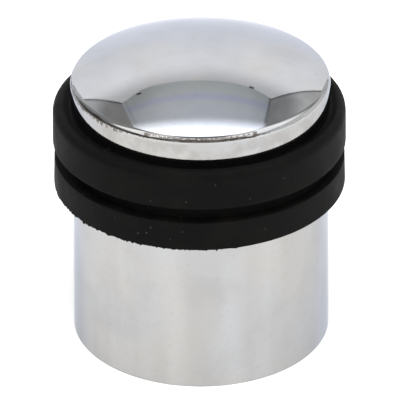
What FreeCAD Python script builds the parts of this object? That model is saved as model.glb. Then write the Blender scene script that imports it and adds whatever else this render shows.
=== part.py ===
import FreeCAD, Part
import math
import os

# Floor door stop: a chromed die-cast body and dome cap with a grooved rubber
# buffer ring between them, held on a floor plate by a grub screw at the back.
# Millimetres. +Z is up, the origin is the centre of the base on the floor, and
# the grub screw is on the +Y side.

UP = FreeCAD.Vector(0, 0, 1)
BACKWARD = FreeCAD.Vector(0, 1, 0)
ORIGIN = FreeCAD.Vector(0, 0, 0)
SAME = 1e-4                 # two sizes nearer than this are the same
PAST = 1.0                  # how far a cutting or joining tool runs past the face it meets

# Body shell: drafted outside wall, open underneath
BASE_RADIUS = 17.5
WALL_DRAFT = 0.014          # the wall leans in by this much per millimetre of height
SHOULDER_Z = 22.46          # seat of the buffer ring
FOOT_CHAMFER = 0.2
SHOULDER_ROUND = 0.4
CAVITY_RADIUS = 13.9
CAVITY_TOP_Z = 19.4
CAVITY_ROUND = 2.0
NECK_BORE_ROUND = 1.0
NECK_RADIUS = 13.5
NECK_BORE_RADIUS = 10.5
NECK_DECK = 3.0             # thickness of the web that the cap screw clamps
RIB_COUNT = 4
RIB_WIDTH = 2.0
RIB_HEIGHT = 7.0
RIB_INNER_RADIUS = 11.0

# Buffer ring: two ribs with a groove between them
RING_PLAY = 0.02            # axial play between the ring and its two seats
RING_BORE_PLAY = 0.05
LOWER_RIB_TOP_Z = 26.46
UPPER_RIB_BOTTOM_Z = 28.6
RING_TOP_Z = 33.4           # seat of the cap
LOWER_RIB_RADII = (19.74, 19.62)    # at its bottom and at its top
UPPER_RIB_RADII = (19.80, 19.68)
GROOVE_DEPTH = 1.9
RIB_EDGE_ROUND = 0.15
RING_CREST_Z = 33.85        # the rubber swells up round the foot of the cap
RING_CREST_RADIUS = 18.3
RING_CREST_ROUND = 0.5
RING_SEAT_RADIUS = 17.55
RING_TOP_ROUND = 1.1        # the soft outer edge of its top

# Cap: straight rim, rounded edge, shallow dome, hollow underneath
CAP_RADIUS = 17.25
CAP_RIM_TOP_Z = 36.92
CAP_EDGE_ROUND = 1.1
DOME_EDGE_ANGLE = 25.3      # slope of the dome where it meets the rounded edge, degrees
CAP_RIM_CHAMFER = 0.15
CAP_ROOF = 2.3
CAP_WALL = 2.9
CAP_INNER_ROUND = 0.7
CAP_SEAT_RADIUS = 11.0      # the cap's solid middle, which sits on the neck
REGISTER_RADIUS = 8.0       # the cap's spigot, which centres it in the neck
REGISTER_DEPTH = 1.5
REGISTER_PLAY = 0.05

# Cap screw, M5 x 12 pan head, with its two washers
CAP_SCREW_RADIUS = 2.5
CAP_SCREW_CLEARANCE_RADIUS = 2.75
CAP_SCREW_LENGTH = 12.0
CAP_SCREW_HEAD_RADIUS = 4.75
CAP_SCREW_HEAD_HEIGHT = 3.7
CAP_SCREW_HEAD_ROUND = 1.6
CAP_SCREW_TIP_CHAMFER = 0.5
CROSS_SLOT = (4.6, 1.0, 1.9)        # length, width and depth of the cross recess
FLAT_WASHER = (2.65, 5.0, 1.0)      # inner radius, outer radius and thickness
SPRING_WASHER = (2.6, 4.6, 1.2)
SPRING_WASHER_GAP = 0.8
THREAD_PLAY = 0.03
TAPPED_RUN_OUT = 0.4

# Floor plate: a flange that centres the body, and a boss with a vee groove
GASKET_THICKNESS = 0.8
GASKET_RADIUS = 13.4
GASKET_HOLE_RADIUS = 3.0
PLATE_FLANGE_RADIUS = 13.8
PLATE_FLANGE_TOP_Z = 2.6
PLATE_BOSS_RADIUS = 12.5
PLATE_TOP_Z = 6.6
PLATE_CHAMFER = 0.4
FLOOR_SCREW_HOLE_RADIUS = 2.6
FLOOR_SCREW_HEAD_RADIUS = 5.0

# Grub screw, M4 x 4, hexagon socket, cone point
GRUB_Z = 4.5
GRUB_RADIUS = 2.0
GRUB_LENGTH = 4.0
GRUB_SLACK = 0.15           # gap between its point and the plate's boss at rest
GRUB_SOCKET_FLATS = 2.0
GRUB_SOCKET_DEPTH = 1.8
GRUB_END_CHAMFER = 0.35
HEXAGON = 6
VEE_DEPTH = 1.2


def point(radius, z):
    """A point of a lathe profile."""
    return FreeCAD.Vector(radius, 0, z)


def fillet_corner(before, corner, after, radius):
    """The start, middle and end of the arc that rounds a corner of a profile."""
    to_before = (before - corner).normalize()
    to_after = (after - corner).normalize()
    half = to_before.getAngle(to_after) / 2
    reach = radius / math.tan(half)
    bisector = (to_before + to_after).normalize()
    centre = corner + bisector * (radius / math.sin(half))
    return corner + to_before * reach, centre - bisector * radius, corner + to_after * reach


def lathe(profile):
    """Revolve a closed profile of (radius, z) or (radius, z, corner rounding) about Z."""
    points = [point(p[0], p[1]) for p in profile]
    rounding = [p[2] if len(p) > 2 else 0 for p in profile]
    edges = []
    stops = []
    for i, corner in enumerate(points):
        if rounding[i]:
            after = points[(i + 1) % len(points)]
            start, middle, end = fillet_corner(points[i - 1], corner, after, rounding[i])
            edges.append(Part.Arc(start, middle, end).toShape())
            stops.append((start, end))
        else:
            stops.append((corner, corner))
    for i, (_, leave) in enumerate(stops):
        arrive = stops[(i + 1) % len(stops)][0]
        if leave.distanceToPoint(arrive) > SAME:
            edges.append(Part.LineSegment(leave, arrive).toShape())
    wire = Part.Wire(Part.__sortEdges__(edges))
    return Part.Face(wire).revolve(ORIGIN, UP, 360)


def disc(radius, low, high):
    """A plain cylinder about Z from one height to another."""
    return Part.makeCylinder(radius, high - low, FreeCAD.Vector(0, 0, low), UP)


def tube(inner, outer, low, high):
    """A plain sleeve about Z from one height to another."""
    return disc(outer, low, high).cut(disc(inner, low - PAST, high + PAST))


def radial_rod(radius, y_low, y_high, z):
    """A plain cylinder along +Y."""
    return Part.makeCylinder(radius, y_high - y_low, FreeCAD.Vector(0, y_low, z), BACKWARD)


def radial_cone(radius_low, radius_high, y_low, y_high, z):
    """A plain cone along +Y."""
    start = FreeCAD.Vector(0, y_low, z)
    return Part.makeCone(radius_low, radius_high, y_high - y_low, start, BACKWARD)


def wall_radius(z):
    """Outer radius of the drafted body wall at a height."""
    return BASE_RADIUS - WALL_DRAFT * z


def body_shell():
    """The die-cast body: drafted wall, shoulder, neck, and ribs in its cavity."""
    shell = lathe([
        (CAVITY_RADIUS, 0),
        (wall_radius(0) - FOOT_CHAMFER, 0),
        (wall_radius(FOOT_CHAMFER), FOOT_CHAMFER),
        (wall_radius(SHOULDER_Z), SHOULDER_Z, SHOULDER_ROUND),
        (NECK_RADIUS, SHOULDER_Z),
        (NECK_RADIUS, RING_TOP_Z),
        (REGISTER_RADIUS + REGISTER_PLAY, RING_TOP_Z),
        (REGISTER_RADIUS + REGISTER_PLAY, RING_TOP_Z - REGISTER_DEPTH - REGISTER_PLAY),
        (CAP_SCREW_CLEARANCE_RADIUS, RING_TOP_Z - REGISTER_DEPTH - REGISTER_PLAY),
        (CAP_SCREW_CLEARANCE_RADIUS, clamp_z()),
        (NECK_BORE_RADIUS, clamp_z(), NECK_BORE_ROUND),
        (NECK_BORE_RADIUS, CAVITY_TOP_Z),
        (CAVITY_RADIUS, CAVITY_TOP_Z, CAVITY_ROUND),
    ])
    for i in range(RIB_COUNT):
        rib = Part.makeBox(
            CAVITY_RADIUS + PAST - RIB_INNER_RADIUS, RIB_WIDTH, RIB_HEIGHT,
            FreeCAD.Vector(RIB_INNER_RADIUS, -RIB_WIDTH / 2, CAVITY_TOP_Z - RIB_HEIGHT),
        )
        rib.rotate(ORIGIN, UP, i * 360 / RIB_COUNT)
        shell = shell.fuse(rib)
    grub_hole = radial_rod(
        GRUB_RADIUS + THREAD_PLAY, CAVITY_RADIUS - PAST, BASE_RADIUS + PAST, GRUB_Z,
    )
    return shell.cut(grub_hole).removeSplitter()


def clamp_z():
    """Underside of the neck's web, where the cap screw's washers bear."""
    return RING_TOP_Z - REGISTER_DEPTH - REGISTER_PLAY - NECK_DECK


def buffer_ring():
    """The rubber ring: two ribs, each a little wider at its bottom, a groove, and a swollen top."""
    bore = NECK_RADIUS + RING_BORE_PLAY
    groove = LOWER_RIB_RADII[1] - GROOVE_DEPTH
    return lathe([
        (bore, SHOULDER_Z + RING_PLAY),
        (LOWER_RIB_RADII[0], SHOULDER_Z + RING_PLAY, RIB_EDGE_ROUND),
        (LOWER_RIB_RADII[1], LOWER_RIB_TOP_Z, RIB_EDGE_ROUND),
        (groove, LOWER_RIB_TOP_Z, RIB_EDGE_ROUND),
        (groove, UPPER_RIB_BOTTOM_Z, RIB_EDGE_ROUND),
        (UPPER_RIB_RADII[0], UPPER_RIB_BOTTOM_Z, RIB_EDGE_ROUND),
        (UPPER_RIB_RADII[1], RING_CREST_Z, RING_TOP_ROUND),
        (RING_CREST_RADIUS, RING_CREST_Z, RING_CREST_ROUND),
        (RING_SEAT_RADIUS, RING_TOP_Z - RING_PLAY, RIB_EDGE_ROUND),
        (bore, RING_TOP_Z - RING_PLAY),
    ])


def dome_profile(radius, rim_top, edge_round, base_z):
    """Half section of a domed solid: straight rim, rounded edge and a sphere cap."""
    slope = math.radians(DOME_EDGE_ANGLE)
    edge_centre = point(radius - edge_round, rim_top)

    def edge_point(angle):
        return edge_centre + point(math.sin(angle), math.cos(angle)) * edge_round

    start = edge_point(slope)
    sphere_radius = start.x / math.sin(slope)
    sphere_centre_z = start.z - sphere_radius * math.cos(slope)

    def sphere_point(angle):
        height = sphere_centre_z + sphere_radius * math.cos(angle)
        return point(sphere_radius * math.sin(angle), height)

    edges = [
        Part.LineSegment(point(0, base_z), point(radius, base_z)).toShape(),
        Part.LineSegment(point(radius, base_z), point(radius, rim_top)).toShape(),
        Part.Arc(point(radius, rim_top), edge_point((slope + math.pi / 2) / 2), start).toShape(),
        Part.Arc(start, sphere_point(slope / 2), sphere_point(0)).toShape(),
        Part.LineSegment(sphere_point(0), point(0, base_z)).toShape(),
    ]
    return Part.Face(Part.Wire(edges)).revolve(ORIGIN, UP, 360)


def cap():
    """The domed cap: an annular hollow underneath, and a tapped spigot that centres it."""
    outside = dome_profile(CAP_RADIUS, CAP_RIM_TOP_Z, CAP_EDGE_ROUND, RING_TOP_Z)
    inside = dome_profile(
        CAP_RADIUS - CAP_WALL, CAP_RIM_TOP_Z - CAP_ROOF, CAP_INNER_ROUND, RING_TOP_Z - PAST,
    )
    spigot_foot = RING_TOP_Z - REGISTER_DEPTH
    spigot = disc(REGISTER_RADIUS, spigot_foot, RING_TOP_Z + PAST)
    hollow = inside.cut(disc(CAP_SEAT_RADIUS, RING_TOP_Z - 2 * PAST, CAP_RIM_TOP_Z + CAP_ROOF))
    hole_end = clamp_z() - washer_stack() + CAP_SCREW_LENGTH + TAPPED_RUN_OUT
    tapped = disc(CAP_SCREW_RADIUS + THREAD_PLAY, spigot_foot - PAST, hole_end)
    body = outside.cut(hollow).fuse(spigot).cut(tapped).removeSplitter()
    return body.makeChamfer(CAP_RIM_CHAMFER, [e for e in body.Edges if is_rim_foot(e)])


def is_rim_foot(edge):
    """Whether an edge is the outer bottom circle of the cap's rim."""
    box = edge.BoundBox
    level = box.ZLength < SAME and abs(box.ZMax - RING_TOP_Z) < SAME
    return level and abs(box.XMax - CAP_RADIUS) < SAME


def washer_stack():
    """Height of the two washers under the cap screw's head."""
    return FLAT_WASHER[2] + SPRING_WASHER[2]


def flat_washer():
    """The plain washer against the neck's web."""
    inner, outer, thickness = FLAT_WASHER
    return tube(inner, outer, clamp_z() - thickness, clamp_z())


def spring_washer():
    """The split washer between the plain washer and the screw's head."""
    inner, outer, thickness = SPRING_WASHER
    low = clamp_z() - washer_stack()
    corner = FreeCAD.Vector(0, -SPRING_WASHER_GAP / 2, low - PAST)
    split = Part.makeBox(outer + PAST, SPRING_WASHER_GAP, thickness + 2 * PAST, corner)
    return tube(inner, outer, low, low + thickness).cut(split)


def cap_screw():
    """The pan-head screw that pulls the cap down onto the neck."""
    head_top = clamp_z() - washer_stack()
    head_bottom = head_top - CAP_SCREW_HEAD_HEIGHT
    tip = head_top + CAP_SCREW_LENGTH
    screw = lathe([
        (0, head_bottom),
        (CAP_SCREW_HEAD_RADIUS, head_bottom, CAP_SCREW_HEAD_ROUND),
        (CAP_SCREW_HEAD_RADIUS, head_top),
        (CAP_SCREW_RADIUS, head_top),
        (CAP_SCREW_RADIUS, tip - CAP_SCREW_TIP_CHAMFER),
        (CAP_SCREW_RADIUS - CAP_SCREW_TIP_CHAMFER, tip),
        (0, tip),
    ])
    length, width, depth = CROSS_SLOT
    for along, across in ((length, width), (width, length)):
        corner = FreeCAD.Vector(-along / 2, -across / 2, head_bottom - PAST)
        screw = screw.cut(Part.makeBox(along, across, depth + PAST, corner))
    return screw


def mounting_plate():
    """The floor plate: flange, grooved boss and a countersunk floor screw hole."""
    countersink_depth = FLOOR_SCREW_HEAD_RADIUS - FLOOR_SCREW_HOLE_RADIUS
    return lathe([
        (FLOOR_SCREW_HOLE_RADIUS, GASKET_THICKNESS),
        (PLATE_FLANGE_RADIUS, GASKET_THICKNESS),
        (PLATE_FLANGE_RADIUS, PLATE_FLANGE_TOP_Z),
        (PLATE_BOSS_RADIUS, PLATE_FLANGE_TOP_Z),
        (PLATE_BOSS_RADIUS, GRUB_Z - VEE_DEPTH),
        (PLATE_BOSS_RADIUS - VEE_DEPTH, GRUB_Z),
        (PLATE_BOSS_RADIUS, GRUB_Z + VEE_DEPTH),
        (PLATE_BOSS_RADIUS, PLATE_TOP_Z - PLATE_CHAMFER),
        (PLATE_BOSS_RADIUS - PLATE_CHAMFER, PLATE_TOP_Z),
        (FLOOR_SCREW_HEAD_RADIUS, PLATE_TOP_Z),
        (FLOOR_SCREW_HOLE_RADIUS, PLATE_TOP_Z - countersink_depth),
    ])


def floor_gasket():
    """The thin soft pad between the plate and the floor."""
    return tube(GASKET_HOLE_RADIUS, GASKET_RADIUS, 0, GASKET_THICKNESS)


def grub_screw():
    """The socket grub screw, backed off so that its point just clears the plate."""
    tip_y = PLATE_BOSS_RADIUS + GRUB_SLACK
    cone_end = tip_y + GRUB_RADIUS
    outer_end = tip_y + GRUB_LENGTH
    shank_end = outer_end - GRUB_END_CHAMFER
    cone = radial_cone(0, GRUB_RADIUS, tip_y, cone_end, GRUB_Z)
    shank = radial_rod(GRUB_RADIUS, cone_end, shank_end, GRUB_Z)
    end = radial_cone(GRUB_RADIUS, GRUB_RADIUS - GRUB_END_CHAMFER, shank_end, outer_end, GRUB_Z)
    corner_radius = GRUB_SOCKET_FLATS / math.sqrt(3)
    socket_floor = outer_end - GRUB_SOCKET_DEPTH
    corners = []
    for i in range(HEXAGON + 1):
        turn = 2 * math.pi * i / HEXAGON
        x, z = corner_radius * math.cos(turn), GRUB_Z + corner_radius * math.sin(turn)
        corners.append(FreeCAD.Vector(x, socket_floor, z))
    hexagon = Part.Face(Part.makePolygon(corners))
    socket = hexagon.extrude(FreeCAD.Vector(0, GRUB_SOCKET_DEPTH + PAST, 0))
    return cone.fuse(shank).fuse(end).cut(socket).removeSplitter()


NODES = {
    "body_shell": body_shell,
    "buffer_ring": buffer_ring,
    "cap": cap,
    "cap_screw": cap_screw,
    "cap_flat_washer": flat_washer,
    "cap_spring_washer": spring_washer,
    "mounting_plate": mounting_plate,
    "floor_gasket": floor_gasket,
    "grub_screw": grub_screw,
}

os.makedirs("parts", exist_ok=True)
for name, make in NODES.items():
    shape = make()
    shape.exportStep(f"parts/{name}.step")
    print(name, len(shape.Solids), "solid", round(shape.Volume, 1), "mm3")
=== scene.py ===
import math

import bpy
import numpy as np
from mathutils import Matrix, Vector, noise


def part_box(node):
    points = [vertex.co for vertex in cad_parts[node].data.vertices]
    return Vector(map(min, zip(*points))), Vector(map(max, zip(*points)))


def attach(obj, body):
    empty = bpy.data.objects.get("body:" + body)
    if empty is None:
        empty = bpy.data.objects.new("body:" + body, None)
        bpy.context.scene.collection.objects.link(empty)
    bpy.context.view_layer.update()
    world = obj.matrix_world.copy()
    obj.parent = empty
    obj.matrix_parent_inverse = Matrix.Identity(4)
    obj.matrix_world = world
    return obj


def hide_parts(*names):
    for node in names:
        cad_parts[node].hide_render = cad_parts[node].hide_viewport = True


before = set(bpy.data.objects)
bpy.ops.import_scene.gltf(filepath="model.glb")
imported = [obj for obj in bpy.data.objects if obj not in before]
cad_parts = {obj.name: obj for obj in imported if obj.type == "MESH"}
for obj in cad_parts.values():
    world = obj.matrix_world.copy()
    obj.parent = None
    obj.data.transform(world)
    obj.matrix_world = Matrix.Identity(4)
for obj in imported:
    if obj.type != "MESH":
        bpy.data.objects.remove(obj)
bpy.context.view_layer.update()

# A chromed floor door stop with a grooved rubber ring. Metres, in the frame of the CAD model.

MM = 0.001

# ---------------------------------------------------------------- camera
CAMERA_ELEVATION = math.radians(30.29)
CAMERA_DISTANCE = 0.495
CAMERA_TARGET = Vector((0.00022, 0, 0.01827))
CAMERA_ROLL = math.radians(-0.19)
SENSOR_WIDTH = 36.0
LENS = 325.9

# ---------------------------------------------------------------- shape details
SEGMENTS = 384
INNER_ROUND = 0.1 * MM           # edges that hardly show
FIT = 0.02 * MM                  # the ring's gap to the shoulder under it and to the cap on it

WALL_DRAFT = 0.014               # how far the body's wall leans in, for each unit of height
FOOT_ROUND = 0.12 * MM
SHOULDER_ROUND = 0.4 * MM
CAVITY_RADIUS = 13.9 * MM
CAVITY_TOP = 19.4 * MM
CAVITY_ROUND = 2.0 * MM
NECK_RADIUS = 13.5 * MM
NECK_BORE_RADIUS = 10.5 * MM
NECK_BORE_ROUND = 1.0 * MM
NECK_DECK_DEPTH = 4.55 * MM      # the underside of the neck's deck, below the neck's top
REGISTER_RADIUS = 8.05 * MM      # the recess that takes the cap's spigot
REGISTER_DEPTH = 1.55 * MM
SCREW_CLEARANCE_RADIUS = 2.75 * MM
RIB_RADII = (11.0 * MM, 14.2 * MM)
RIB_HALF_WIDTH = 1.0 * MM
RIB_LEVELS = (12.4 * MM, 19.6 * MM)
GRUB_HOLE_HEIGHT = 4.5 * MM
GRUB_HOLE_RADIUS = 2.03 * MM
HOLE_EDGE = 0.12 * MM            # the chamfers at both its ends
PATCH_HALF_HEIGHT = 3.0 * MM     # the patch of wall that the hole is cut in
PATCH_ROWS = 5
PATCH_COLUMNS = 10               # on each side of its middle

CAP_RIM_HEIGHT = 3.52 * MM
CAP_EDGE_ROUND = 1.1 * MM
CAP_FOOT_ROUND = 0.15 * MM
CAP_TILT = math.radians(-0.3)    # the cap sits a hair lower on its -X side
CAP_WALL = 2.9 * MM
CAP_ROOF_DEPTH = 1.7 * MM        # the roof of its hollow, below the top of the rim
CAP_SPIGOT_RADIUS = 8.0 * MM
CAP_LAND_RADIUS = 11.0 * MM      # the land that stands on the neck
CAP_HOLE_RADIUS = 2.5 * MM
CAP_HOLE_DEPTH = 5.0 * MM
DOME_EDGE_ANGLE = math.radians(25.3)    # the dome's slope at its edge
RIDGE_STEPS = 24
DOME_STEPS = 64

RING_SEGMENTS = 1080
RING_ROW_LENGTH = 0.45 * MM      # straight runs are split this fine, so that they can wave
RING_BORE = 13.55 * MM
RING_EDGE_ROUND = 0.13 * MM
RING_ROOM = 0.13 * MM            # the ribs stay this far inside the CAD ring, which leaves room for waves
RING_TOP_ROUND = 1.1 * MM
RING_CREST_RADIUS = 18.3 * MM    # the rubber swells up round the foot of the cap
RING_CREST_ROUND = 0.5 * MM
RING_SEAT_RADIUS = 17.55 * MM
RING_SEAT_ROUND = 0.2 * MM
RING_BULGE = 0.17 * MM           # how far its ribs are shifted toward -X
RING_SLACK = 0.08 * MM           # and how much further in they stand all round
RING_WAVES = ((0.12, 0.035 * MM), (0.9, 0.012 * MM))    # bumps in each millimetre, and their height
LOWER_RIB_HEIGHT = 3.98 * MM
LOWER_RIB_INSET = 0.04 * MM
GROOVE_HEIGHT = 2.14 * MM
GROOVE_DEPTH = 1.9 * MM
RIB_FLARE = 0.12 * MM
FOOT_FLASH = 0.4 * MM            # how far flash hangs from the ring's foot
FOOT_FLASH_REACH = 0.35 * MM     # and how far up the wall it starts
RIB_FLASH = 0.14 * MM
RIB_FLASH_REACH = 0.3 * MM
RIB_FLASH_TURN = 2.1             # radians between the two edges' patterns

# ---------------------------------------------------------------- light tent, seen only in reflections
TENT_HEIGHT = 0.8
TENT_FOOT = 0.04                     # the walls' shades are worked out upward from the cap's height
TENT_UNIT = TENT_HEIGHT - TENT_FOOT  # the lengths from TENT_BACK to WALL_FOOT are multiples of this
TENT_BACK = 0.715
TENT_FRONT = -0.5
TENT_LEFT = (-0.56, -0.511, -0.218)  # its foot, its top at the back and its top at the front
TENT_RIGHT = (0.485, 0.44, 0.285)
TENT_SAG = 0.12                      # how far the roof's back edge bows outward
TENT_BOW = (                         # place along that edge, and how much of the bow it has there
    (0, 0), (0.05, 0.27), (0.13, 0.83), (0.2, 1), (0.34, 0.98),
    (0.53, 0.92), (0.72, 0.9), (0.86, 0.71), (0.92, 0.37), (1, 0),
)
TENT_CLIPS = ((-0.393, 0.761), (0.308, 0.799))
CLIP_HALF_SIZE = 0.015
CLIP_LEVEL = 0.995                   # just under the roof, which is at 1
LAMP_BOW = 0.33                      # how much the lamp over the roof reaches further back at its sides
BACK_WALL = (1.0, 2.0)               # half its width, and its top
FRONT_WALL = (0.6, 1.0)
WALL_FOOT = -0.05                    # the walls start this far under their zero
TENT_GLOW = 1.205                    # the other glows are multiples of this one
LAMP_GLOW = 2.2
CLIP_GLOW = 0.02
SWEEP_GLOW = 1.3
SWEEP_FROM = 0.035                   # the pale sweep behind the stop fades in between these places on Y
SWEEP_FULL = 0.075
SWEEP_LIFT = 0.0005
SWEEP_SIZE = 1.5

# ---------------------------------------------------------------- floor and light
FLOOR_HALF_SIZE = 4.0
FLOOR_GREYS = (0.81, 0.84)
LAMP_PLACE = Vector((0.02, -0.48, 0.8))
LAMP_SIZE = 0.8
LAMP_POWER = 13.0


def node_top(node):
    """Height of a CAD node's top."""
    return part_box(node)[1].z


def node_foot(node):
    """Height of a CAD node's bottom."""
    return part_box(node)[0].z


def node_radius(node):
    """Largest radius of a round CAD node."""
    low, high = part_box(node)
    return (high.x - low.x) / 2


# ---------------------------------------------------------------- turned meshes
def arc(centre, radius, start, end, steps):
    """Profile points on an arc about centre, as rows of radius, height and outward normal."""
    rows = []
    for i in range(steps + 1):
        a = start + (end - start) * i / steps
        n = Vector((math.cos(a), math.sin(a)))
        p = Vector(centre) + n * radius
        rows.append((p.x, p.y, n.x, n.y))
    return rows


def rounded_corner(before, corner, after, radius, steps=6):
    """Profile rows that round one corner of a counter-clockwise profile."""
    before, corner, after = Vector(before), Vector(corner), Vector(after)
    arrive = (corner - before).normalized()
    leave = (after - corner).normalized()
    cross = arrive.x * leave.y - arrive.y * leave.x
    turn = math.atan2(cross, arrive.dot(leave))
    reach = radius * abs(math.tan(turn / 2))
    side = 1 if cross > 0 else -1
    left = Vector((-arrive.y, arrive.x)) * side
    centre = corner - arrive * reach + left * radius
    first = -left
    rows = []
    for i in range(steps + 1):
        a = turn * i / steps
        c, s = math.cos(a), math.sin(a)
        n = Vector((first.x * c - first.y * s, first.x * s + first.y * c))
        p = centre + n * radius
        rows.append((p.x, p.y, n.x * side, n.y * side))
    return rows


def rounded_profile(corners, steps=6):
    """Rows of a closed counter-clockwise profile, from corners of (radius, height, rounding)."""
    rows = []
    for i, (r, z, radius) in enumerate(corners):
        before = corners[i - 1][:2]
        after = corners[(i + 1) % len(corners)][:2]
        rows += rounded_corner(before, (r, z), after, radius, steps)
    return rows


def split_long_runs(rows, longest):
    """Adds evenly spaced rows to straight runs of a closed profile that are longer than longest."""
    finer = []
    for i, row in enumerate(rows):
        after = rows[(i + 1) % len(rows)]
        length = math.hypot(after[0] - row[0], after[1] - row[1])
        count = max(1, math.ceil(length / longest))
        for k in range(count):
            t = k / count
            finer.append(tuple(a + (b - a) * t for a, b in zip(row, after)))
    return finer


def split_at_levels(rows, levels, radius):
    """Adds rows at some heights to the long straight run of a closed profile near radius."""
    for i, row in enumerate(rows):
        after = rows[(i + 1) % len(rows)]
        spans = min(row[1], after[1]) < min(levels) and max(row[1], after[1]) > max(levels)
        if spans and abs(row[0] - radius) < 0.5 * MM:
            extra = []
            for level in levels:
                t = (level - row[1]) / (after[1] - row[1])
                extra.append(tuple(a + (b - a) * t for a, b in zip(row, after)))
            return rows[:i + 1] + extra + rows[i + 1:], i + 1
    return rows, len(rows)


def turned(name, rows, segments=SEGMENTS, reshape=None, sharp_normals=True, skip=None, finish=None):
    """A mesh turned about Z from profile rows. Rows on the axis become one vertex.

    reshape(r, z, angle) moves a point of the profile, skip(row, column) leaves a quad out, and
    finish(verts, normals, faces, index) adds to the mesh.
    """
    angles = np.linspace(0, 2 * math.pi, segments, endpoint=False)
    closed = rows[0][0] > 0
    verts, normals, index = [], [], []
    for k, (r, z, nr, nz) in enumerate(rows):
        if r <= 0:
            index.append([len(verts)] * segments)
            verts.append((0, 0, z))
            normals.append((0, 0, 1 if nz > 0 else -1))
            continue
        index.append(list(range(len(verts), len(verts) + segments)))
        for a in angles:
            rr, zz = (r, z) if reshape is None else reshape(r, z, a)
            verts.append((rr * math.cos(a), rr * math.sin(a), zz))
            normals.append((nr * math.cos(a), nr * math.sin(a), nz))
    faces = []
    last = len(rows) if closed else len(rows) - 1
    for k in range(last):
        low, high = index[k], index[(k + 1) % len(rows)]
        for j in range(segments):
            if skip is not None and skip(k, j):
                continue
            m = (j + 1) % segments
            quad = [low[j], low[m], high[m], high[j]]
            faces.append([v for i, v in enumerate(quad) if v not in quad[:i]])
    if finish is not None:
        finish(verts, normals, faces, index)
    mesh = bpy.data.meshes.new(name)
    mesh.from_pydata(verts, [], faces)
    mesh.shade_smooth()
    if sharp_normals:
        mesh.normals_split_custom_set_from_vertices(normals)
    obj = bpy.data.objects.new(name, mesh)
    bpy.context.scene.collection.objects.link(obj)
    return obj


# ---------------------------------------------------------------- colours
CHROME_WARM = (0.402, 0.396, 0.387)
CHROME_COOL = (0.392, 0.395, 0.402)
# stains, and painted shade on the cap's rim
CHROME_DIRT_AND_SHADE = (0.225, 0.212, 0.195)
# painted reflection on the cap's ridge
CHROME_PAINTED_REFLECTION = (0.10, 0.085, 0.07)
CHROME_EDGE_TINT = (0.72, 0.75, 0.82, 1)
UPRIGHT = (1, 1, 0.1)            # stretches noise into upright streaks


# ---------------------------------------------------------------- node helpers
class Nodes:
    """A short way to build a material's node tree."""

    def __init__(self, name):
        self.material = bpy.data.materials.new(name)
        self.material.use_nodes = True
        self.tree = self.material.node_tree
        self.shader = self.tree.nodes["Principled BSDF"]

    def add(self, kind, **settings):
        """A node, with its properties, or its inputs where no property has the name."""
        node = self.tree.nodes.new(kind)
        for key, value in settings.items():
            if hasattr(node, key):
                setattr(node, key, value)
            else:
                self.feed(node.inputs[key.replace("_", " ")], value)
        return node

    def feed(self, socket, value):
        """Links an output, or sets a plain value."""
        if isinstance(value, bpy.types.NodeSocket):
            self.tree.links.new(value, socket)
        else:
            socket.default_value = value

    def set(self, **values):
        """Feeds the shader's inputs, named with _ for a space."""
        for key, value in values.items():
            self.feed(self.shader.inputs[key.replace("_", " ")], value)

    def position(self, scale=(1, 1, 1)):
        """Object coordinates in metres, stretched by scale."""
        coords = self.add("ShaderNodeTexCoord").outputs["Object"]
        mapping = self.add("ShaderNodeMapping")
        self.feed(mapping.inputs["Vector"], coords)
        mapping.inputs["Scale"].default_value = scale
        return mapping.outputs["Vector"]

    def noise(self, scale, detail=3, roughness=0.5, stretch=(1, 1, 1)):
        """Noise of about scale bumps in each metre."""
        node = self.add("ShaderNodeTexNoise", Scale=scale, Detail=detail, Roughness=roughness)
        self.feed(node.inputs["Vector"], self.position(stretch))
        return node.outputs["Fac"]

    def spots(self, scale, size):
        """1 inside small round spots, 0 outside, with about scale cells in each metre."""
        node = self.add("ShaderNodeTexVoronoi", Scale=scale)
        self.feed(node.inputs["Vector"], self.position())
        return self.ramp(node.outputs["Distance"], size * 0.6, size, 1, 0)

    def ramp(self, value, low, high, out_low=0.0, out_high=1.0):
        """Maps low..high to out_low..out_high smoothly and clamps it."""
        node = self.add("ShaderNodeMapRange", interpolation_type="SMOOTHSTEP")
        for key, number in (("Value", value), ("From Min", low), ("From Max", high),
                            ("To Min", out_low), ("To Max", out_high)):
            self.feed(node.inputs[key], number)
        return node.outputs["Result"]

    def math(self, operation, a, b=0.0):
        """One arithmetic node."""
        node = self.add("ShaderNodeMath", operation=operation)
        self.feed(node.inputs[0], a)
        self.feed(node.inputs[1], b)
        return node.outputs[0]

    def product(self, first, *others):
        """Everything multiplied together."""
        for other in others:
            first = self.math("MULTIPLY", first, other)
        return first

    def band(self, value, rise, fall, most=1.0):
        """0 outside a band and most inside it. rise and fall are where its two soft edges start and end."""
        return self.product(self.ramp(value, *rise, 0, most), self.ramp(value, *fall, 1, 0))

    def mix(self, factor, first, second):
        """Mixes two colours."""
        node = self.add("ShaderNodeMix", data_type="RGBA")
        self.feed(node.inputs[0], factor)
        self.feed(node.inputs[6], first)
        self.feed(node.inputs[7], second)
        return node.outputs[2]

    def bump(self, height, distance, strength=1.0, under=None):
        """A bump normal, on top of another one."""
        node = self.add("ShaderNodeBump", Strength=strength, Distance=distance)
        self.feed(node.inputs["Height"], height)
        if under is not None:
            self.feed(node.inputs["Normal"], under)
        return node.outputs["Normal"]

    def axis_value(self, axis):
        """One coordinate, in metres."""
        split = self.add("ShaderNodeSeparateXYZ")
        self.feed(split.inputs[0], self.position())
        return split.outputs[axis]


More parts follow.
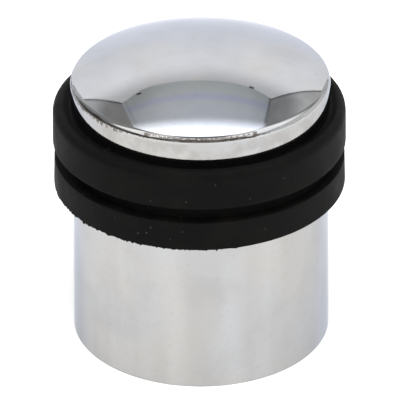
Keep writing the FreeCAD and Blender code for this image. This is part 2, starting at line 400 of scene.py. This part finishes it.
def paint_ridge(n, colour, rough, edge):
    """Darkens the cap's rim with dirt and painted shade, and adds a painted reflection round its ridge.

    level is the height above the straight part of the rim in millimetres, from 0 to about 1 over the ridge.
    The painted reflection stands in for dark surroundings seen in the ridge. It is a ragged dark line,
    wider and with teeth on the left, and faint on the right. In front it has a row of bright beads and a
    thinner line above it, with a dark spot at each end.
    """
    x = n.axis_value(0)
    aside = n.math("ABSOLUTE", x)
    lean = n.math("MULTIPLY", x, -math.tan(CAP_TILT))
    level = n.math("MULTIPLY", n.math("SUBTRACT", n.math("SUBTRACT", n.axis_value(2), edge), lean), 1 / MM)
    # the straight rim is darkened: its mottled dirt, and painted shade for the darker floor that it reflects
    mottle = n.ramp(n.noise(380, detail=4, roughness=0.65), 0.38, 0.64, 0.4, 1.9)
    soil_and_shade = n.product(n.ramp(level, -0.2, 0.2, 0.24, 0), mottle)
    colour = n.mix(soil_and_shade, colour, (*CHROME_DIRT_AND_SHADE, 1))

    # painted reflection: a ragged dark line round the ridge, wider and toothed on the left, faint on the
    # right
    line = n.math("ADD", n.ramp(aside, 4 * MM, 7 * MM, 0.5, 0.39), n.ramp(x, -14 * MM, -12 * MM, 0.07, 0))
    half = n.ramp(x, -13.5 * MM, -11.5 * MM, 0.21, 0.075)
    streak = n.ramp(n.noise(2500, detail=2, stretch=UPRIGHT), 0.42, 0.54)
    reach = n.product(n.ramp(x, -14 * MM, -12.8 * MM, 0.2, 0.45), n.ramp(x, -11 * MM, -9 * MM, 1, 0.2))
    teeth = n.product(streak, reach)
    ragged = n.ramp(n.noise(900, detail=2), 0.3, 0.7, -0.07, 0.07)
    off = n.math("ADD", n.math("SUBTRACT", level, line), ragged)
    low = n.ramp(n.math("ADD", n.math("ADD", off, teeth), half), -0.04, 0.04)
    high = n.ramp(n.math("SUBTRACT", off, half), -0.04, 0.04, 1, 0)
    patchy = n.ramp(n.noise(420, detail=3), 0.3, 0.6, 0.6, 0.95)
    fade = n.product(n.ramp(x, 8 * MM, 9.5 * MM, 1, 0.3), n.ramp(x, 13 * MM, 15 * MM, 1, 0))
    ragged_line = n.product(low, high, fade, patchy)

    # painted reflection in front: dark gaps between bright beads, a thin line above them, and dark end spots
    beads = n.ramp(n.noise(5200, detail=0, stretch=(1, 1, 0.05)), 0.45, 0.55, 0.75, 0)
    beads = n.product(beads, n.band(level, (0.55, 0.6), (0.76, 0.8)))
    upper_line = n.band(level, (0.77, 0.82), (0.88, 0.93), 0.6)
    in_front = n.ramp(aside, 6.8 * MM, 7.3 * MM, 1, 0)
    row = n.product(n.math("MAXIMUM", beads, upper_line), in_front)
    from_end = n.math("ABSOLUTE", n.math("SUBTRACT", aside, 7 * MM))
    spot = n.product(n.ramp(from_end, 0.15 * MM, 0.4 * MM, 0.9, 0), n.band(level, (0.3, 0.4), (0.75, 0.85)))

    painted_reflection = n.math("MAXIMUM", ragged_line, n.math("MAXIMUM", row, spot))
    colour = n.mix(painted_reflection, colour, (*CHROME_PAINTED_REFLECTION, 1))
    return colour, n.math("ADD", rough, n.math("MULTIPLY", painted_reflection, 0.15))


def chrome(name, stains, edge=None):
    """Polished chrome plate with slight waves, pits, stains and handling marks.

    stains is how strong the stains are, and edge the height where the cap's ridge starts, for the cap only.
    There the rim gets painted shade and the ridge a painted reflection.
    """
    n = Nodes(name)
    dirt = (*CHROME_DIRT_AND_SHADE, 1)
    colour = n.mix(n.ramp(n.noise(85, detail=3), 0.42, 0.6), (*CHROME_WARM, 1), (*CHROME_COOL, 1))
    cloud = n.ramp(n.noise(110, detail=5, roughness=0.62), 0.46, 0.72)
    drawn = n.ramp(n.noise(190, detail=2, stretch=UPRIGHT), 0.38, 0.66)
    specks = n.ramp(n.noise(1500, detail=2), 0.56, 0.68)
    pits = n.spots(900, 0.10)
    for mask, strength in ((cloud, stains), (drawn, stains), (specks, stains * 0.4), (pits, 0.3)):
        colour = n.mix(n.math("MULTIPLY", mask, strength), colour, dirt)
    haze = n.ramp(n.noise(260, detail=4, roughness=0.6), 0.35, 0.8, 0.035, 0.06)
    smudge = n.ramp(n.noise(70, detail=3), 0.56, 0.74, 0, 0.04)
    rough = n.math("ADD", haze, smudge)
    waves = n.bump(n.noise(55, detail=1), 0.00002, 0.5)
    fine = n.bump(n.noise(1500, detail=2), 0.000004, 0.25, waves)
    if edge is not None:
        colour, rough = paint_ridge(n, colour, rough, edge)
    n.set(Metallic=1.0, Base_Color=colour, Roughness=rough, Normal=fine, Specular_Tint=CHROME_EDGE_TINT)
    return n.material


def rubber(name):
    """Matte moulded rubber with grain, scuffs and a few dust specks."""
    n = Nodes(name)
    grain = n.noise(3500, detail=3, roughness=0.6)
    cloud = n.noise(240, detail=4, roughness=0.6)
    dust = n.math("MULTIPLY", n.spots(650, 0.09), n.ramp(n.noise(210), 0.47, 0.6))
    dark = (0.0018, 0.0017, 0.0016, 1)
    light = (0.0036, 0.0034, 0.0031, 1)
    colour = n.mix(n.ramp(cloud, 0.35, 0.7), dark, light)
    colour = n.mix(n.math("MULTIPLY", dust, 0.25), colour, (0.12, 0.118, 0.115, 1))
    rough = n.ramp(cloud, 0.3, 0.7, 0.58, 0.72)
    normal = n.bump(grain, 0.00003, 0.6)
    n.set(Base_Color=colour, Roughness=rough, Normal=normal, Specular_IOR_Level=0.06)
    return n.material


def steel(name, tint, roughness):
    """Bright plated or blackened steel with fine turning marks."""
    n = Nodes(name)
    marks = n.noise(2200, detail=2, stretch=(0.15, 1, 1))
    colour = n.mix(n.ramp(n.noise(400, detail=3), 0.35, 0.7), (*tint, 1), (*[c * 0.8 for c in tint], 1))
    rough = n.ramp(marks, 0.3, 0.7, roughness * 0.8, roughness * 1.3)
    n.set(Metallic=1.0, Base_Color=colour, Roughness=rough, Normal=n.bump(marks, 0.00001, 0.5))
    return n.material


def foam(name):
    """Closed-cell foam rubber."""
    n = Nodes(name)
    cells = n.noise(3000, detail=2)
    colour = n.mix(cells, (0.02, 0.02, 0.021, 1), (0.05, 0.05, 0.052, 1))
    n.set(Base_Color=colour, Roughness=n.ramp(cells, 0.3, 0.7, 0.8, 0.95), Normal=n.bump(cells, 0.00005, 0.6))
    return n.material


def dress(piece, material):
    """Gives a piece one material."""
    piece.data.materials.clear()
    piece.data.materials.append(material)


def stand_for(piece, node, body):
    """Hangs a new piece on its body and hides the CAD node that it replaces."""
    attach(piece, body)
    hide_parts(node)


# ---------------------------------------------------------------- pieces
def make_cap(material):
    """The domed cap, hollow underneath, with a spigot and the hole for its screw."""
    radius, foot = node_radius("cap"), node_foot("cap")
    seat = node_top("body_shell")
    rim_top = seat + CAP_RIM_HEIGHT
    dome_edge = math.pi / 2 - DOME_EDGE_ANGLE
    ridge = arc((radius - CAP_EDGE_ROUND, rim_top), CAP_EDGE_ROUND, 0, dome_edge, RIDGE_STEPS)
    dome_start = ridge.pop()
    dome_radius = dome_start[0] / math.sin(DOME_EDGE_ANGLE)
    dome_centre = (0, dome_start[1] - dome_radius * math.cos(DOME_EDGE_ANGLE))
    dome = arc(dome_centre, dome_radius, dome_edge, math.pi / 2, DOME_STEPS)
    dome[-1] = (0, dome[-1][1], 0, 1)
    inner_wall = radius - CAP_WALL
    rim = rounded_corner((inner_wall, seat), (radius, seat), (radius, rim_top), CAP_FOOT_ROUND)
    roof = rim_top - CAP_ROOF_DEPTH
    hole_top = foot + CAP_HOLE_DEPTH
    inside = [
        (CAP_HOLE_RADIUS, hole_top), (CAP_HOLE_RADIUS, foot), (CAP_SPIGOT_RADIUS, foot),
        (CAP_SPIGOT_RADIUS, seat), (CAP_LAND_RADIUS, seat), (CAP_LAND_RADIUS, roof),
        (inner_wall, roof), (inner_wall, seat), (radius, seat),
    ]
    bottom = [(0, hole_top, 0, -1), (CAP_HOLE_RADIUS, hole_top, 0, -1)]
    for before, corner, after in zip(inside, inside[1:], inside[2:]):
        bottom += rounded_corner(before, corner, after, INNER_ROUND, 3)
    cap = turned("cap_dome", bottom + rim + ridge + dome)
    pivot = Matrix.Translation((0, 0, seat))
    cap.data.transform(pivot @ Matrix.Rotation(CAP_TILT, 4, "Y") @ pivot.inverted())
    dress(cap, material)
    stand_for(cap, "cap", "stop")


def patch_edge(index, first, flip):
    """The edge of the patch of wall at the back, counter-clockwise seen from outside, from its lower left.

    first is its first row, and flip is set where the rows run downward.
    """
    low, high = (first + PATCH_ROWS, first) if flip else (first, first + PATCH_ROWS)
    step = -1 if flip else 1
    middle = SEGMENTS // 4
    columns = range(middle - PATCH_COLUMNS, middle + PATCH_COLUMNS)
    edge = [index[low][c] for c in columns]
    edge += [index[low + step * k][columns.stop] for k in range(PATCH_ROWS)]
    edge += [index[high][c + 1] for c in reversed(columns)]
    edge += [index[high - step * k][columns.start] for k in range(PATCH_ROWS)]
    return edge


def drill_wall(verts, normals, faces, outer_edge, inner_edge, base):
    """Joins the two edges of the patch of wall through the grub screw's hole."""
    mouth = GRUB_HOLE_RADIUS + HOLE_EDGE
    # Each loop's radius, the wall's radius and draft, a shift along Y, and which way the wall faces there.
    # 0 is inside the hole.
    plan = (
        (mouth, base, WALL_DRAFT, 0.0, 1),
        (GRUB_HOLE_RADIUS, base, WALL_DRAFT, -HOLE_EDGE, 0),
        (GRUB_HOLE_RADIUS, CAVITY_RADIUS, 0.0, HOLE_EDGE, 0),
        (mouth, CAVITY_RADIUS, 0.0, 0.0, -1),
    )
    turns = [math.atan2(verts[v][2] - GRUB_HOLE_HEIGHT, verts[v][0]) for v in outer_edge]
    loops = [outer_edge]
    for radius, wall, draft, shift, side in plan:
        loop = []
        for a in turns:
            c, s = math.cos(a), math.sin(a)
            x, z = radius * c, GRUB_HOLE_HEIGHT + radius * s
            y = math.sqrt((wall - draft * z) ** 2 - x * x)
            loop.append(len(verts))
            verts.append((x, y + shift, z))
            normals.append((side * x / wall, side * y / wall, 0) if side else (-c, 0, -s))
        loops.append(loop)
    loops.append(inner_edge)
    for one, two in zip(loops, loops[1:]):
        for k in range(len(one)):
            m = (k + 1) % len(one)
            faces.append([one[k], one[m], two[m], two[k]])


def add_ribs(verts, normals, faces):
    """Adds the four ribs under the cavity's roof, as boxes that end inside the wall and the roof."""
    for turn in range(4):
        spin = Matrix.Rotation(turn * math.pi / 2, 3, "Z")
        first = len(verts)
        for corner in range(8):
            i, j, k = corner & 1, corner >> 1 & 1, corner >> 2
            outward = Vector((2 * i - 1, 2 * j - 1, 2 * k - 1))
            verts.append(tuple(spin @ Vector((RIB_RADII[i], outward.y * RIB_HALF_WIDTH, RIB_LEVELS[k]))))
            normals.append(tuple(spin @ outward.normalized()))
        for quad in ((0, 2, 3, 1), (4, 5, 7, 6), (0, 1, 5, 4), (2, 6, 7, 3), (0, 4, 6, 2), (1, 3, 7, 5)):
            faces.append([first + q for q in quad])


def make_body(material):
    """The drafted body with its neck, its cavity with ribs, and the grub screw's hole at the back."""
    base, top = node_radius("body_shell"), node_top("body_shell")
    shoulder = node_foot("buffer_ring") - FIT
    deck, register_floor = top - NECK_DECK_DEPTH, top - REGISTER_DEPTH
    rows = rounded_profile([
        (CAVITY_RADIUS, 0, INNER_ROUND),
        (base, 0, FOOT_ROUND),
        (base - WALL_DRAFT * shoulder, shoulder, SHOULDER_ROUND),
        (NECK_RADIUS, shoulder, INNER_ROUND),
        (NECK_RADIUS, top, INNER_ROUND),
        (REGISTER_RADIUS, top, INNER_ROUND),
        (REGISTER_RADIUS, register_floor, INNER_ROUND),
        (SCREW_CLEARANCE_RADIUS, register_floor, INNER_ROUND),
        (SCREW_CLEARANCE_RADIUS, deck, INNER_ROUND),
        (NECK_BORE_RADIUS, deck, NECK_BORE_ROUND),
        (NECK_BORE_RADIUS, CAVITY_TOP, INNER_ROUND),
        (CAVITY_RADIUS, CAVITY_TOP, CAVITY_ROUND),
    ], steps=8)
    levels = [GRUB_HOLE_HEIGHT + PATCH_HALF_HEIGHT * (2 * k / PATCH_ROWS - 1) for k in range(PATCH_ROWS + 1)]
    rows, outside = split_at_levels(rows, levels, base)
    rows, inside = split_at_levels(rows, levels[::-1], CAVITY_RADIUS)
    middle = SEGMENTS // 4

    def skip(row, column):
        in_wall = outside <= row < outside + PATCH_ROWS or inside <= row < inside + PATCH_ROWS
        return in_wall and -PATCH_COLUMNS <= column - middle < PATCH_COLUMNS

    def finish(verts, normals, faces, index):
        outer_edge, inner_edge = patch_edge(index, outside, False), patch_edge(index, inside, True)
        drill_wall(verts, normals, faces, outer_edge, inner_edge, base)
        add_ribs(verts, normals, faces)

    body = turned("body_casting", rows, skip=skip, finish=finish)
    dress(body, material)
    stand_for(body, "body_shell", "stop")


def ring_flash(angle, amount):
    """Torn flash along an edge of the ring, from 0 to amount, different all the way round."""
    p = Vector((math.cos(angle), math.sin(angle), 0))
    patch = max(0.0, noise.noise(p * 3.1 + Vector((5.2, 1.3, 0))) + 0.4 - 0.4 * p.x)
    teeth = max(0.0, noise.noise(p * 55 + Vector((0.7, 3.9, 2.0)))) + 0.6 * max(0.0, noise.noise(p * 110))
    return amount * min(1.0, 1.8 * patch * teeth)


def make_ring(material):
    """The rubber ring: two slightly uneven ribs with a groove between them."""
    low, high = node_foot("buffer_ring"), node_top("buffer_ring")
    outer = node_radius("buffer_ring") - RING_ROOM
    lower_outer = outer - LOWER_RIB_INSET
    seat = node_top("body_shell") - FIT
    groove_foot = low + LOWER_RIB_HEIGHT
    groove_top = groove_foot + GROOVE_HEIGHT
    groove = outer - GROOVE_DEPTH
    rows = rounded_profile([
        (RING_BORE, low, INNER_ROUND),
        (lower_outer, low, RING_EDGE_ROUND),
        (lower_outer - RIB_FLARE, groove_foot, RING_EDGE_ROUND),
        (groove, groove_foot, RING_EDGE_ROUND),
        (groove, groove_top, RING_EDGE_ROUND),
        (outer, groove_top, RING_EDGE_ROUND),
        (outer - RIB_FLARE, high, RING_TOP_ROUND),
        (RING_CREST_RADIUS, high, RING_CREST_ROUND),
        (RING_SEAT_RADIUS, seat, RING_SEAT_ROUND),
        (RING_BORE, seat, INNER_ROUND),
    ])
    rows = split_long_runs(rows, RING_ROW_LENGTH)

    def reshape(r, z, angle):
        if r < groove:
            return r, z
        p = Vector((r * math.cos(angle), r * math.sin(angle), z)) / MM
        outside = min(1.0, (r - groove) / GROOVE_DEPTH)
        wave = sum(height * noise.noise(p * bumps) for bumps, height in RING_WAVES)
        r += (wave - RING_BULGE * math.cos(angle) - RING_SLACK) * outside
        at_foot = max(0.0, 1 - abs(z - low) / FOOT_FLASH_REACH) * outside
        at_rib = max(0.0, 1 - abs(z - groove_top) / RIB_FLASH_REACH) * outside
        z -= at_foot * ring_flash(angle, FOOT_FLASH)
        z -= at_rib * ring_flash(angle + RIB_FLASH_TURN, RIB_FLASH)
        return r, z

    ring = turned("buffer_ring_rubber", rows, RING_SEGMENTS, reshape, sharp_normals=False)
    dress(ring, material)
    stand_for(ring, "buffer_ring", "ring")


# ---------------------------------------------------------------- stage
def panel(name, quads, shade, cover=None):
    """A glowing panel of four-cornered pieces that only reflections see.

    shade(nodes) gives its colour and glow, and cover(nodes) how solid it is.
    """
    mesh = bpy.data.meshes.new(name)
    corners = [c for quad in quads for c in quad]
    mesh.from_pydata(corners, [], [tuple(range(4 * i, 4 * i + 4)) for i in range(len(quads))])
    obj = bpy.data.objects.new(name, mesh)
    bpy.context.scene.collection.objects.link(obj)
    obj.visible_camera = False
    obj.visible_diffuse = False
    obj.visible_shadow = False
    n = Nodes(name)
    n.tree.nodes.remove(n.shader)
    colour, glow = shade(n)
    strength = n.math("MULTIPLY", glow, TENT_GLOW)
    emission = n.add("ShaderNodeEmission")
    n.feed(emission.inputs["Color"], colour)
    n.feed(emission.inputs["Strength"], strength)
    surface = emission
    if cover is not None:
        surface = n.add("ShaderNodeMixShader")
        n.feed(surface.inputs[0], cover(n))
        n.feed(surface.inputs[1], n.add("ShaderNodeBsdfTransparent").outputs[0])
        n.feed(surface.inputs[2], emission.outputs[0])
    n.feed(n.tree.nodes["Material Output"].inputs["Surface"], surface.outputs[0])
    dress(obj, n.material)


def make_tent():
    """The light tent: roof with a lamp over it, back wall, side walls, and the front with its dark slit."""
    def place(x, y, z):
        return (x * TENT_UNIT, y * TENT_UNIT, z * TENT_UNIT + TENT_FOOT)

    def height(n):
        return n.math("MULTIPLY", n.math("SUBTRACT", n.axis_value(2), TENT_FOOT), 1 / TENT_UNIT)

    def plan(n, axis):
        return n.math("MULTIPLY", n.axis_value(axis), 1 / TENT_UNIT)

    def edge_line(n, y, side):
        """Where the roof's left or right edge is, at y."""
        _, back, front = side
        slope = (back - front) / (TENT_BACK - TENT_FRONT)
        return n.math("ADD", n.math("MULTIPLY", y, slope), front - slope * TENT_FRONT)

    def roof_shade(n):
        x, y = plan(n, 0), plan(n, 1)
        across = n.math("POWER", x, 2)
        bowed = n.math("ADD", y, n.math("MULTIPLY", across, -LAMP_BOW))
        lamp = n.product(n.ramp(bowed, 0.185, 0.35, 1, 0), n.ramp(y, -0.22, -0.1), LAMP_GLOW)
        left_edge = n.math("SUBTRACT", x, edge_line(n, y, TENT_LEFT))
        right_edge = n.math("SUBTRACT", edge_line(n, y, TENT_RIGHT), x)
        cloth = n.product(
            n.ramp(y, 0.33, 0.84, 0.90, 0.67), n.ramp(y, -0.28, -0.14, 0.35, 1),
            n.ramp(across, 0.0, 0.2, 1, 0.70), n.ramp(left_edge, 0.012, 0.045, 0.82, 1),
        )
        cloth = n.math("ADD", cloth, n.ramp(left_edge, 0.0, 0.016, 0.16, 0))
        cloth = n.product(cloth, n.ramp(right_edge, 0.006, 0.022, 0.4, 1))
        colour = n.mix(n.ramp(y, 0.35, 0.75), (0.88, 0.93, 1.03, 1), (0.94, 1.0, 1.02, 1))
        colour = n.mix(n.band(y, (0.50, 0.575), (0.575, 0.66)), colour, (0.83, 0.875, 1.09, 1))
        return colour, n.math("ADD", cloth, lamp)

    def back_shade(n):
        z = height(n)
        drape = n.ramp(n.noise(6, detail=2, stretch=(1, 1, 0.2)), 0.3, 0.7, 0.975, 1.025)
        glow = n.product(n.ramp(z, 0.2, 0.57, 1.31, 1.40), n.ramp(z, 0.66, 1.08, 1, 0.60), drape)
        return (0.985, 0.99, 1.015, 1), glow

    def side_shade(n, lit_from, lit_to, foot):
        """Dull cloth, lighter low down at the back, lit near the front. foot is its glow at the floor."""
        y, z = plan(n, 1), height(n)
        at_back = n.ramp(y, 0.3, 0.5)
        far = n.ramp(z, 0.58, 0.84, 0.78, 0.36)
        lit = n.product(n.ramp(y, lit_from, lit_to, 1.4, 0), n.ramp(z, 0.2, 0.3))
        near = n.math("ADD", n.ramp(z, 0.14, 0.28, foot, 0.38), lit)
        cloth = n.math("ADD", n.product(far, at_back), n.product(near, n.math("SUBTRACT", 1.0, at_back)))
        fold = n.ramp(n.noise(7, detail=1), 0.35, 0.7, 0.92, 1.1)
        seam = n.ramp(y, TENT_BACK - 0.03, TENT_BACK - 0.012, 1, 0.3)
        return (0.98, 0.99, 1.0, 1), n.product(cloth, fold, seam)

    def left_shade(n):
        return side_shade(n, -0.12, -0.02, 0.2)

    def right_shade(n):
        return side_shade(n, 0.0, 0.3, 1.05)

    def front_shade(n):
        z = height(n)
        slit = n.ramp(z, 0.24, 0.36, 0.42, 1.2)
        fold = n.math("SUBTRACT", 1.0, n.band(z, (0.7, 0.8), (0.9, 1.0), 0.3))
        return (1.0, 0.98, 0.95, 1), n.product(slit, fold)

    def clip_shade(n):
        return (1, 1, 1, 1), CLIP_GLOW

    def sweep_shade(n):
        return (0.99, 0.99, 1.01, 1), SWEEP_GLOW

    def sweep_cover(n):
        return n.ramp(n.axis_value(1), SWEEP_FROM, SWEEP_FULL)

    def across_wall(y, half_width, top):
        return [place(-half_width, y, WALL_FOOT), place(half_width, y, WALL_FOOT),
                place(half_width, y, top), place(-half_width, y, top)]

    def side_wall(foot, back_top, front_top):
        return [place(foot, TENT_FRONT, WALL_FOOT), place(foot, TENT_BACK, WALL_FOOT),
                place(back_top, TENT_BACK, 1), place(front_top, TENT_FRONT, 1)]

    roof = []
    (_, left_back, left_front), (_, right_back, right_front) = TENT_LEFT, TENT_RIGHT
    for (t0, bow0), (t1, bow1) in zip(TENT_BOW, TENT_BOW[1:]):
        back0, back1 = (left_back + (right_back - left_back) * t for t in (t0, t1))
        front0, front1 = (left_front + (right_front - left_front) * t for t in (t0, t1))
        roof.append([place(front0, TENT_FRONT, 1), place(front1, TENT_FRONT, 1),
                     place(back1, TENT_BACK + TENT_SAG * bow1, 1),
                     place(back0, TENT_BACK + TENT_SAG * bow0, 1)])
    clips = []
    for x, y in TENT_CLIPS:
        left, right = x - CLIP_HALF_SIZE, x + CLIP_HALF_SIZE
        front, back = y - CLIP_HALF_SIZE, y + CLIP_HALF_SIZE
        corners = ((left, front), (right, front), (right, back), (left, back))
        clips.append([place(*corner, CLIP_LEVEL) for corner in corners])
    sweep = [(-SWEEP_SIZE, SWEEP_FROM, SWEEP_LIFT), (SWEEP_SIZE, SWEEP_FROM, SWEEP_LIFT),
             (SWEEP_SIZE, SWEEP_SIZE, SWEEP_LIFT), (-SWEEP_SIZE, SWEEP_SIZE, SWEEP_LIFT)]
    panel("tent_roof", roof, roof_shade)
    panel("tent_back", [across_wall(TENT_BACK + TENT_SAG, *BACK_WALL)], back_shade)
    panel("tent_left", [side_wall(*TENT_LEFT)], left_shade)
    panel("tent_right", [side_wall(*TENT_RIGHT)], right_shade)
    panel("tent_front", [across_wall(TENT_FRONT, *FRONT_WALL)], front_shade)
    panel("tent_clips", clips, clip_shade)
    panel("tent_sweep", [sweep], sweep_shade, sweep_cover)


def make_floor():
    """A plain pale floor."""
    size = FLOOR_HALF_SIZE
    mesh = bpy.data.meshes.new("floor")
    corners = [(-size, -size, 0), (size, -size, 0), (size, size, 0), (-size, size, 0)]
    mesh.from_pydata(corners, [], [(0, 1, 2, 3)])
    floor = bpy.data.objects.new("floor", mesh)
    bpy.context.scene.collection.objects.link(floor)
    n = Nodes("floor_paper")
    darker, lighter = ((grey, grey, grey, 1) for grey in FLOOR_GREYS)
    n.set(Base_Color=n.mix(n.noise(900, detail=3), darker, lighter), Roughness=0.9, Specular_IOR_Level=0.0)
    dress(floor, n.material)


def make_lights():
    """White surroundings and one large soft lamp overhead, which reflections don't see."""
    world = bpy.data.worlds.new("studio")
    bpy.context.scene.world = world
    world.use_nodes = True
    background = world.node_tree.nodes["Background"]
    background.inputs["Color"].default_value = (1, 1, 1, 1)
    background.inputs["Strength"].default_value = 1.0
    lamp_data = bpy.data.lights.new("overhead_softbox", "AREA")
    lamp_data.shape = "SQUARE"
    lamp_data.size = LAMP_SIZE
    lamp_data.energy = LAMP_POWER
    lamp = bpy.data.objects.new("overhead_softbox", lamp_data)
    lamp.location = LAMP_PLACE
    lamp.rotation_euler = (-LAMP_PLACE).to_track_quat("-Z", "Y").to_euler()
    lamp.visible_glossy = False
    lamp.visible_camera = False
    bpy.context.scene.collection.objects.link(lamp)


def make_camera():
    """A long lens, looking down at the stop from the front."""
    data = bpy.data.cameras.new("camera")
    data.sensor_width = SENSOR_WIDTH
    data.lens = LENS
    data.clip_start = 0.01
    data.clip_end = 20
    camera = bpy.data.objects.new("camera", data)
    back = Vector((0, -math.cos(CAMERA_ELEVATION), math.sin(CAMERA_ELEVATION)))
    turn = (-back).to_track_quat("-Z", "Y").to_matrix().to_4x4()
    away = Matrix.Translation(CAMERA_TARGET + back * CAMERA_DISTANCE)
    camera.matrix_world = away @ turn @ Matrix.Rotation(CAMERA_ROLL, 4, "Z")
    bpy.context.scene.collection.objects.link(camera)
    bpy.context.scene.camera = camera


def main():
    """Builds the whole scene."""
    bpy.context.scene.view_settings.view_transform = "Standard"
    make_camera()
    make_lights()
    make_floor()
    make_tent()
    make_cap(chrome("chrome_cap", 0.1, edge=node_top("body_shell") + CAP_RIM_HEIGHT))
    make_body(chrome("chrome_body", 0.2))
    make_ring(rubber("buffer_rubber"))
    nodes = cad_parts
    plated = steel("zinc_plated_steel", (0.55, 0.56, 0.57), 0.22)
    for name in ("cap_screw", "cap_flat_washer", "cap_spring_washer", "mounting_plate"):
        dress(nodes[name], plated)
    dress(nodes["floor_gasket"], foam("gasket_foam"))
    dress(nodes["grub_screw"], steel("grub_steel", (0.12, 0.12, 0.125), 0.3))


main()
